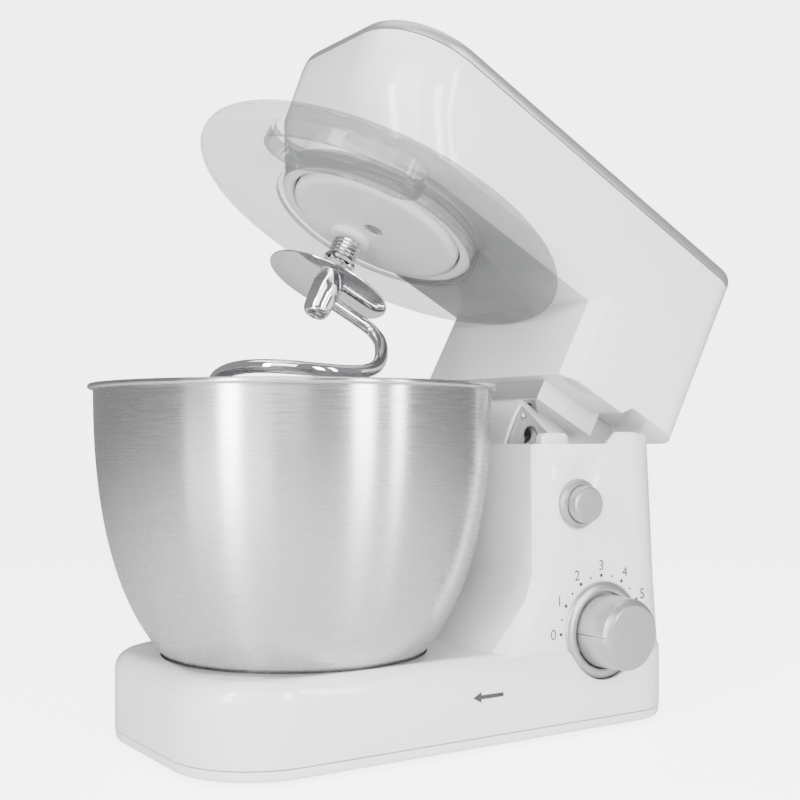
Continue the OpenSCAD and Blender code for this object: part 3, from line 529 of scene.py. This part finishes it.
b_bump.inputs["Distance"].default_value = 0.00012
bt.links.new(b_fine.outputs["Fac"], b_bump.inputs["Height"])
bt.links.new(b_bump.outputs[0], bs.inputs["Normal"])
bt.links.new(ramp(bt, b_fine.outputs["Fac"], 0.3, 0.7, 0.22, 0.32), bs.inputs["Roughness"])
print("brushed steel wired")

# %% [markdown]
# The splash guard is clear polycarbonate, a little grey. Its body is thin, so it is drawn as
# a faint grey film that lets the white head through, and its polished edges, found by the
# edge group, turn darker and denser than the sheet. That darkness is painted shade for how
# light bends at a clear edge.

# %% Clear plastic
# The near-black edge colour, at full amount, is painted shade on the guard's polished edges.
clear = surface("clear polycarbonate", (0.16, 0.165, 0.17), 0.05, edge_wear_and_shade_colour=(0.07, 0.073, 0.077), tint=0.01,
                bump=0.004,
                rough_swing=0.02, dusty=0.0, edge_wear_and_shade_amount=1.0)
ct = clear.node_tree
cs = ct.nodes["Principled BSDF"]
c_edge = next(n for n in ct.nodes if n.type == "GROUP" and n.node_tree == edge_wear_and_shade)
c_edge.inputs["Radius"].default_value = 0.0012
c_rim = ct.nodes.new("ShaderNodeLayerWeight")
c_rim.inputs["Blend"].default_value = 0.25
c_film = ramp(ct, c_rim.outputs["Facing"], 0.2, 1.0, 0.37, 0.68)
# The edge mask also makes the film denser there, as part of the same painted edge shade.
ct.links.new(math_node(ct, "MULTIPLY_ADD", c_edge.outputs["Mask"], 0.6, c_film), cs.inputs["Alpha"])
ink = surface("grey print", (0.035, 0.035, 0.037), 0.5, tint=0.1, bump=0.02, dusty=0.0)

# %% [markdown]
# ## Base and column
# On the real machine one glossy moulding makes the deck, the bowl's seat and the column.
# A block gets its corners and edge rounded with bevels, a second block is drawn in to a
# leaning column, and the hollow parts are cut away with their own smaller blocks.

# %% Corners at the back
# Metres: how far behind the bowl's axis the back corners lie, and how far out to the sides
corner_behind = 0.2
corner_out = 0.07
head_corner_out = 0.06


def back_corner(e, out=corner_out):
    behind = min(v.co.x for v in e.verts) > bowl_x + corner_behind
    return upright(e) and behind and abs(e.verts[0].co.y) > out


def head_back_corner(e):
    return back_corner(e, head_corner_out)


print("back corners more than", corner_behind, "m behind the bowl")

# %% Deck block
def deck_block(name, w, bottom):
    obj = block(name, (-86.5 + w, -80 + w, bottom), (216 - w, 80 - w, 50 - w))
    edit(obj)
    bevel(lambda e: upright(e) and e.verts[0].co.x < bowl_x, 47 - w, 22)
    bevel(back_corner, 36 - w, 18)
    bevel(lambda e: all(abs(v.co.z * 1000 - 50 + w) < 0.1 for v in e.verts), 9 - w * 0.8, 8)
    done()
    return obj


# %% Column block
def column_block(name, w, top):
    obj = block(name, (72 + w, -76.9 + w, 39), (214.5 - w, 76.9 - w, top))
    edit(obj)
    level(82)
    move(lambda x, y, z: x < 100 and z > 80, x=38.5)
    move(lambda x, y, z: x > 200 and 80 < z < 90, x=-2.5)
    move(lambda x, y, z: x > 200 and z > 150, x=-6.5)
    for s in (-1, 1):
        move(lambda x, y, z: y * s > 70 and 80 < z < 90, y=-1.5 * s)
        move(lambda x, y, z: y * s > 70 and z > 150, y=-2.9 * s)
    bevel(lambda e: e.calc_length() > 0.03
          and all(abs(v.co.y) > 0.06 and mm(v)[0] < 115 for v in e.verts), 7.5, 1)
    bevel(lambda e: upright(e) and all(mm(v)[0] > 195 for v in e.verts), 30 - w, 16)
    done()
    return obj


housing = deck_block("housing", 0, 9.2)
column = column_block("column", 0, 168)
edit(column)
bevel(lambda e: all(abs(v.co.z - 0.168) < 0.0001 for v in e.verts) and all(mm(v)[0] > 170 for v in e.verts)
      and e.calc_length() < 0.12 and not all(abs(abs(v.co.y) - 0.074) < 0.001 for v in e.verts), 4, 4)
done()
rim_cut = block("rim_cut", (60, -90, 161.5), (160, 90, 190))
edit(rim_cut)
move(lambda x, y, z: x > 150 and z > 180, x=28.5 * 7 / 6.5)
done()
cut(column, rim_cut)
weld(housing, column)
cut(housing, deck_block("deck_hollow", 2.5, 5))
cut(housing, column_block("column_hollow", 2.5, 180))
print("housing blocks joined:", len(housing.data.polygons))

# %% Seat, lugs and holes
seat = rod_between("seat", (0, 0, 36.6), (0, 0, 49.2), 74, 128)
weld(housing, seat)
for s in (-1, 1):
    lug = block("lug", (118.5, s * 64 - 2.5, 140), (137, s * 64 + 2.5, 167.5))
    edit(lug)
    bevel(lambda e: all(v.co.z > 0.16 for v in e.verts)
          and abs(e.verts[0].co.x - e.verts[1].co.x) < 0.001, 2, 1)
    done()
    weld(housing, lug)
    web = block("web", (118.5, s * 69 - 5.5, 140), (137, s * 69 + 5.5, 150))
    weld(housing, web)
cut(housing, rod_between("recess", (0, 0, 42.2), (0, 0, 70), 72, 128))
cut(housing, rod_between("ring_hole", (0, 0, 20), (0, 0, 60), 66.6, 96))
cut(housing, rod_between("button_hole", (137.5, -90, 128.3), (137.5, -60, 128.3), 10.6, 64))
cut(housing, rod_between("dial_recess", (154.5, -90, 57), (154.5, -74.8, 57), 27.4, 96))
cut(housing, rod_between("dial_hole", (154.5, -90, 57), (154.5, -60, 57), 6, 48))
cut(housing, rod_between("gland_hole", (200, 46, 30), (230, 46, 30), 7, 48))
soften(housing, 0.7, 2)
finish(housing, "base", white, ["base_housing", "column_housing"])

# %% [markdown]
# Under the housing a shallow tray closes the base, with a shadow groove between the two.
# It carries the rubber suction feet.

# %% Tray
tray = block("tray", (-86.1, -79.6, 3.2), (215.6, 79.6, 8.4))
edit(tray)
bevel(lambda e: upright(e) and e.verts[0].co.x < bowl_x, 46.6, 22)
bevel(back_corner, 35.6, 18)
bevel(lambda e: all(v.co.z < 0.0033 for v in e.verts), 2.2, 4)
done()
for n, (x, y) in enumerate(((-44.5, -48), (-44.5, 48), (186, -50), (186, 50))):
    cut(tray, rod_between("foot_hole", (x, y, 0), (x, y, 20), 3.2, 24))
tray_lip = block("tray_lip", (-83.4, -76.9, 6), (212.9, 76.9, 11))
edit(tray_lip)
bevel(lambda e: upright(e) and e.verts[0].co.x < bowl_x, 44, 16)
bevel(back_corner, 33, 12)
done()
weld(tray, tray_lip)
soften(tray, 0.3, 1)
finish(tray, "base", white, ["base_tray"])

# %% [markdown]
# ## Bowl
# The bowl is spun from sheet, so it is turned here: down the outside from a rolled rim,
# across the floor and back up the inside, one millimetre in.

# %% Turn the bowl
def bowl_r(z):
    return 107 * (1 - ((193.5 - z) / 166) ** 2.3) ** (1 / 3)


heights = [44.1 + (190.5 - 44.1) * (i / 44) ** 1.25 for i in range(45)]
outside = [(bowl_r(z), z) for z in heights]
rim = [(108.4 + 1.55 * math.cos(math.radians(a)),
        191.95 + 1.55 * math.sin(math.radians(a))) for a in range(-120, 181, 20)]
inside = [(bowl_r(z) - 1, z + (0.25 if n > 0 else 0.5)) for n, z in enumerate(heights)]
profile = [(0.0, 42.6), (40, 42.6), (outside[0][0] - 4, 42.6), (outside[0][0] - 1.6, 43.0)] + outside + rim
profile += inside[::-1] + [(inside[0][0] - 1.6, 43.9), (inside[0][0] - 4, 43.6), (40, 43.6), (0.0, 43.6)]
bowl = turned("bowl_shell", profile, steps=160)
finish(bowl, "mixing_bowl", brushed, ["bowl"], angle=50)

# %% [markdown]
# ## Head
# The head is a long block with a deep round nose. Its underside is chamfered all round and
# the nose leans back below its middle. The neck is a second block under its back end, and a
# stepped cut fits it over the column's rim.

# %% Head block
def head_block(name, w, bottom, top):
    obj = block(name, (-68 + w, -72 + w, bottom), (207.9 - w, 72 - w, top))
    edit(obj)
    bevel(lambda e: upright(e) and e.verts[0].co.x < bowl_x, 44 - w, 24)
    bevel(head_back_corner, 18 - w, 12)
    return obj


head = head_block("head_shell", 0, 211, 273.7)
level(241)
move(lambda x, y, z: x < -20 and z < 215, x=21)
move(lambda x, y, z: x < -20 and 230 < z < 250, x=4)
bevel(lambda e: all(v.co.z < 0.2112 for v in e.verts), 8, 1)
done()
neck = block("neck", (111, -71.95, 163), (207.85, 71.95, 222))
edit(neck)
bevel(lambda e: upright(e) and all(mm(v)[0] < 120 for v in e.verts), 8, 1)
bevel(lambda e: upright(e) and all(mm(v)[0] > 180 for v in e.verts), 18, 12)
done()
weld(head, neck, rod_between("turret", (0, 0, 211), (0, 0, 226), 56.5, 128))
step = block("step", (157, -90, 150), (230, 90, 169.5))
edit(step)
move(lambda x, y, z: x < 160 and z > 165, x=6)
move(lambda x, y, z: x < 160 and z < 155, x=-12)
done()
cut(head, step)
soften(head, 1.3, 3)
print("head faces", len(head.data.polygons))

# %% Head hollow
hollow = head_block("head_hollow", 2.5, 213.5, 290)
level(241)
move(lambda x, y, z: x < -20 and z < 215, x=21)
move(lambda x, y, z: x < -20 and 230 < z < 250, x=4)
bevel(lambda e: all(v.co.z < 0.2137 for v in e.verts), 7, 1)
done()
cut(head, hollow)
neck_hollow = block("neck_hollow", (117, -66, 174), (205, 66, 220))
cut(head, neck_hollow)
cut(head, rod_between("hub_opening", (0, 0, 200), (0, 0, 223), 51, 96))
for s in (-1, 1):
    cut(head, block("lug_pocket", (116.5, s * 64 - 4, 150), (139, s * 64 + 4, 170)))
tongue_room = block("tongue_room", (131, -34.6, 150), (206, 34.6, 176))
cut(head, tongue_room)
finish(head, "head", white, ["head_housing"], is_raised=True)

# %% Top cover
cover = head_block("cover_shell", 0, 274.5, 282.9)
bevel(lambda e: all(v.co.z > 0.2828 for v in e.verts), 6, 7)
done()
cover_room = head_block("cover_room", 5.3, 270, 280)
done()
cut(cover, cover_room)
lip = head_block("cover_lip", 2.9, 271.5, 275.5)
done()
lip_room = head_block("lip_room", 5.3, 270, 280)
done()
cut(lip, lip_room)
weld(cover, lip)
soften(cover, 0.35, 2)
finish(cover, "head", silver_light, ["top_cover"], is_raised=True)

# %% [markdown]
# ## Tongue and latch plate
# The tongue turns inside the column. Its shape is already right in the frame, so a copy is
# cleaned of its loose triangles and only gets soft moulded edges.

# %% Tongue and plate
tongue = copied("head_tongue", "tongue")
soften(tongue, 0.8, 2, angle=40)
finish(tongue, "head", white, ["head_tongue"])
plate = copied("latch_plate", "latch_face")
soften(plate, 0.25, 2, angle=40)
finish(plate, "head", grey, ["latch_plate"])
screw_head = turned("latch_screw", [(0, 0), (2.0, 0), (2.0, 0.7), (1.4, 1.1), (0, 1.1)],
                    (122.1, -32.4, 143.1), "-Y", 32)
cut(screw_head, block("slot", (120.9, -34.5, 142.85), (123.3, -33.1, 143.35)),
    block("slot", (121.85, -34.5, 141.9), (122.35, -33.1, 144.3)))
finish(screw_head, "head", plain_steel, is_raised=True)

# %% [markdown]
# ## Splash guard
# One clear moulding: a disc, a collar that sits round the white ring, and the wall of the
# feed chute. Polished edges catch the light, so each edge gets a small round.

# %% Guard
guard = copied("splash_guard", "guard_disc")
soften(guard, 0.45, 2, angle=40)
finish(guard, "guard", clear, ["splash_guard"], angle=30)

# %% [markdown]
# ## Planetary hub
# The white ring is fixed to the head and the domed hub turns inside it. Both are turned
# with rolled lips. The spindle stands off centre in its own boss, and one screw in a dimple
# holds the hub to its shaft.

# %% Ring and hub
ring = turned("hub_ring", [(51.2, 211), (51.2, 200.6), (51.9, 199.4), (53.4, 198.9), (55.8, 198.9),
                           (57.2, 199.5),
                           (58, 200.9), (58, 211)], steps=128)
edit(ring)
bpy.ops.mesh.select_all(action="DESELECT")
bpy.ops.mesh.select_mode(type="EDGE")
bpy.ops.mesh.select_non_manifold()
bpy.ops.mesh.bridge_edge_loops()
bpy.ops.mesh.select_all(action="SELECT")
bpy.ops.mesh.normals_make_consistent(inside=False)
done()
finish(ring, "head", satin_white, ["hub_collar"], is_raised=True)
dome = [(0, 196.4), (20, 196.3), (40, 196.1)]
dome += [(45 + 5 * math.sin(math.radians(a)), 201 - 5 * math.cos(math.radians(a))) for a in range(0, 91, 10)]
hub = turned("hub_dome", dome + [(50, 204), (0, 204)], steps=128)
boss_ring = rod_between("boss_ring", (0, 24, 192.8), (0, 24, 200), 12, 64)
edit(boss_ring)
bevel(lambda e: all(v.co.z < 0.1929 for v in e.verts), 1.2, 3)
done()
weld(hub, boss_ring)
weld(hub, rod_between("hub_core", (0, 0, 200), (0, 0, 216), 7.6, 48),
     rod_between("spindle_sleeve", (0, 24, 200), (0, 24, 208), 10, 48))
cut(hub, rod_between("spindle_bore", (0, 24, 180), (0, 24, 220), 5.15, 48))
cut(hub, turned("dimple", [(0, 194), (6.4, 194), (6.0, 196.6), (5.2, 198.2), (0, 198.2)], steps=48))
cut(hub, rod_between("shaft_bore", (0, 0, 197.9), (0, 0, 230), 6.0, 48))
soften(hub, 0.3, 2, angle=40)
finish(hub, "hub", satin_white, ["planetary_hub"], is_raised=True)

# %% [markdown]
# ## Dough hook
# The rod is one bar of polished steel. It leaves the boss sideways, bends down and winds
# in below the spindle, so it is drawn as a smooth curve with a round section. Its points
# are the ones the frame's hook follows.

# %% Hook rod
def hook_points():
    reach, bend, lean, rod_z, low = 40.5, 7.5, 11.0, 155.5, 59.0
    pts = [(x, 0, rod_z) for x in (5.7, 10, 15, 20, 25, 29, 31)]
    pts += [(reach - bend + bend * math.cos(math.radians(a)), lean * (math.sin(math.radians(a)) - 1),
             rod_z - bend + bend * math.sin(math.radians(a))) for a in (75, 50, 25, 0)]
    for i in range(1, 69):
        t = i / 68
        a = math.radians(-400 * t)
        r = reach * (1 - 0.87 * t ** 2.9)
        z = low + (rod_z - bend - low) * (0.56 * (1 - t) ** 4.8 + 0.44 * (1 - t))
        pts.append((r * math.cos(a), r * math.sin(a) - lean * (1 - t), z))
    return [(x, y + 24, z) for x, y, z in pts]


path = bpy.data.curves.new("hook_rod", "CURVE")
path.dimensions = "3D"
spline = path.splines.new("NURBS")
points = hook_points()
spline.points.add(len(points) - 1)
for p, q in zip(spline.points, points):
    p.co = (*spot(*q), 1)
spline.use_endpoint_u = True
spline.order_u = 4
spline.resolution_u = 3
path.bevel_depth = 0.0038
path.bevel_resolution = 7
path.use_fill_caps = True
hook = bpy.data.objects.new("hook_rod", path)
bpy.context.scene.collection.objects.link(hook)
alone(hook)
bpy.ops.object.convert(target="MESH")
hook = bpy.context.object
edit(hook)
bpy.ops.mesh.select_all(action="SELECT")
bpy.ops.mesh.remove_doubles(threshold=0.00002)
bpy.ops.mesh.normals_make_consistent(inside=False)
done()
finish(hook, "hook", chrome, ["dough_hook"], is_raised=True, angle=60)

# %% Boss and dough guard
boss = turned("hook_socket", [(0, 143.2), (1.0, 143.0), (1.7, 142.2), (3.0, 142.0), (4.4, 142.25),
                              (5.6, 142.8), (6.5, 143.7),
                              (7.2, 144.9), (7.7, 146.4), (7.95, 148.5), (8.3, 153), (8.65, 158),
                              (8.9, 163), (9.0, 167), (9.0, 175.9),
                              (8.3, 177), (5.2, 177), (5.2, 147), (0, 147)], (0, 24, 0), steps=128)
cut(boss, block("pin_slot", (-12, 22, 168.8), (12, 26, 180)))
finish(boss, "hook", chrome, ["hook_boss"], is_raised=True, angle=40)
disc = turned("dough_disc", [(9.0, 162.1), (35.6, 162.1), (36.3, 162.3), (36.5, 162.8), (36.3, 163.3),
                             (35.6, 163.5), (9.0, 163.5)],
              (0, 24, 0), steps=128)
edit(disc)
bpy.ops.mesh.select_mode(type="EDGE")
bpy.ops.mesh.select_all(action="DESELECT")
bpy.ops.mesh.select_non_manifold()
bpy.ops.mesh.bridge_edge_loops()
bpy.ops.mesh.select_all(action="SELECT")
bpy.ops.mesh.normals_make_consistent(inside=False)
done()
finish(disc, "hook", chrome, ["dough_guard"], is_raised=True, angle=50)

# %% [markdown]
# ## Controls
# The dial, the button and their bezels are satin silver. All are turned about an axis that
# points out of the side face. A fine line across the dial points to the setting.

# %% Dial and button
panel = -75.4
knob = turned("dial_knob", [(0, 0), (20.5, 0), (20.5, 0.6), (19.8, 19.6), (19.3, 20.6), (16.9, 23.2),
                            (16.2, 23.6), (0, 23.6)],
              (154.5, panel - 2.4, 57), "-Y", 128)
line_cut = block("line_cut", (133, panel - 30, 56.75), (176, panel - 25.7, 57.25))
cut(knob, line_cut)
groove = block("groove", (133, panel - 26.6, 56.75), (135.5, panel - 2, 57.25))
cut(knob, groove)
finish(knob, "knob", silver, ["speed_knob"], angle=25)
bezel = turned("dial_ring", [(21.3, 0), (27.4, 0), (27.4, 1.4), (27.0, 2.3), (26.0, 3.1), (24.2, 3.9),
                             (22.4, 4.1), (21.6, 3.7), (21.3, 2.8), (21.3, 0)],
               (154.5, panel + 0.6, 57), "-Y", 128)
finish(bezel, "base", silver, ["dial_bezel"], angle=40)
button = turned("press_cap", [(0, -20), (5, -20), (5, 0), (10.2, 0), (10.2, 12.2), (9.9, 12.9),
                              (9.1, 13.8), (8.7, 14), (0, 14)],
                (137.5, panel + 4, 128.3), "-Y", 96)
finish(button, "release", silver, ["release_button"], angle=25)
ring_b = turned("press_ring", [(10.28, -3), (10.6, -3), (10.6, 0), (13.8, 0), (13.8, 1.3), (13.4, 2.2),
                               (12.4, 3.2), (11.3, 3.9), (10.7, 3.8), (10.28, 3.2), (10.28, -3)],
                (137.5, panel + 0.6, 128.3), "-Y", 96)
finish(ring_b, "base", silver_light, ["button_bezel"], angle=40)

# %% [markdown]
# ## Prints
# Dots every fifteen degrees and the numerals nought to five stand round the dial, and a
# plain arrow on the base shows which way the bowl turns to lock. They are thin flat pieces
# just proud of the moulding, which leans a little, so each is set at the wall's own depth.

# %% Where the side wall is
def wall_y(z):
    if z <= 41:
        return -80.0
    return -76.9 + (z - 39) * 1.5 / 43 if z < 82 else -75.4 + (z - 82) * 1.4 / 86


def print_at(name, x, z, points):
    bpy.ops.object.select_all(action="DESELECT")
    mesh = bpy.data.meshes.new(name)
    bm = bmesh.new()
    verts = [bm.verts.new(spot(x + a, wall_y(z + b) - 0.06, z + b)) for a, b in points]
    bm.faces.new(verts)
    bm.normal_update()
    if bm.faces[:][0].normal.y > 0:
        bmesh.ops.reverse_faces(bm, faces=bm.faces)
    bm.to_mesh(mesh)
    bm.free()
    obj = bpy.data.objects.new(name, mesh)
    bpy.context.scene.collection.objects.link(obj)
    return obj


# %% Dots and numerals
marks = []
for n in range(11):
    a = math.radians(180 - 15 * n)
    r = 0.7 if n % 2 else 1.05
    ring_pts = [(r * math.cos(t * math.tau / 20), r * math.sin(t * math.tau / 20)) for t in range(20)]
    marks.append(print_at("dot_%d" % n, 154.5 + 30.6 * math.cos(a), 57 + 30.6 * math.sin(a), ring_pts))
for n in range(6):
    a = math.radians(180 - 30 * n)
    bpy.ops.object.select_all(action="DESELECT")
    bpy.ops.object.text_add()
    t = bpy.context.object
    t.data.body = str(n)
    t.data.size = 0.0082
    t.data.align_x, t.data.align_y = "CENTER", "CENTER"
    bpy.ops.object.convert(target="MESH")
    t = bpy.context.object
    x, z = 154.5 + 36 * math.cos(a), 57 + 36 * math.sin(a)
    t.matrix_world = (Matrix.Translation(spot(x, wall_y(z) - 0.1, z))
                      @ Matrix.Rotation(math.radians(90), 4, "X"))
    bpy.ops.object.transform_apply(location=True, rotation=True, scale=True)
    t.name = t.data.name = "numeral_%d" % n
    marks.append(t)
arrow = [(-11, 0), (-5.5, 2.9), (-5.5, 1.1), (9, 1.1), (9, -1.1), (-5.5, -1.1), (-5.5, -2.9)]
marks.append(print_at("lock_arrow", 72, 30, arrow))
alone(marks[0])
for m in marks:
    m.select_set(True)
bpy.ops.object.join()
prints = bpy.context.object
prints.name = prints.data.name = "dial_print"
finish(prints, "base", ink)

# %% [markdown]
# ## The rest of the frame
# Nodes whose shape is already right stay as they are, and each takes the finish that its
# slot in the record asks for.

# %% Materials for the nodes that stay
by_slot = {"white_plastic": white, "grey_plastic": grey, "rubber": rubber, "steel_part": plain_steel,
           "satin_silver": silver, "dark_plastic": dark, "circuit_board": board, "brushed_steel": brushed,
           "bronze": bronze, "cast_alloy": cast, "gear_plastic": nylon, "lamination_steel": laminations,
           "copper_wire": copper, "carbon": carbon, "chrome_steel": chrome, "clear_plastic": clear}
for part in frame["record"]["subparts"]:
    node = frame["nodes"].get(part["node"])
    if node is None:
        continue
    if not node.material_slots:
        node.data.materials.append(None)
    for s in node.material_slots:
        s.material = by_slot[part["material_slot"]]

# %% [markdown]
# ## Floor
# A wide pale counter, curved up nowhere, so that the background stays plain.

# %% Floor
bpy.ops.object.select_all(action="DESELECT")
bpy.ops.mesh.primitive_plane_add(size=8, location=(0, 0, 0))
floor = bpy.context.object
floor.name = "floor"
floor_mat = surface("pale counter", (0.93, 0.93, 0.93), 0.5, tint=0.004, bump=0.01, dusty=0.0,
                    edge_wear_and_shade_amount=0.0)
floor.data.materials.append(floor_mat)
f_path = floor_mat.node_tree.nodes.new("ShaderNodeLightPath")
f_shader = floor_mat.node_tree.nodes["Principled BSDF"]
f_shader.inputs["Emission Color"].default_value = (1, 1, 1, 1)
f_glow = math_node(floor_mat.node_tree, "MULTIPLY", f_path.outputs["Is Camera Ray"], 4.4)
floor_mat.node_tree.links.new(f_glow, f_shader.inputs["Emission Strength"])
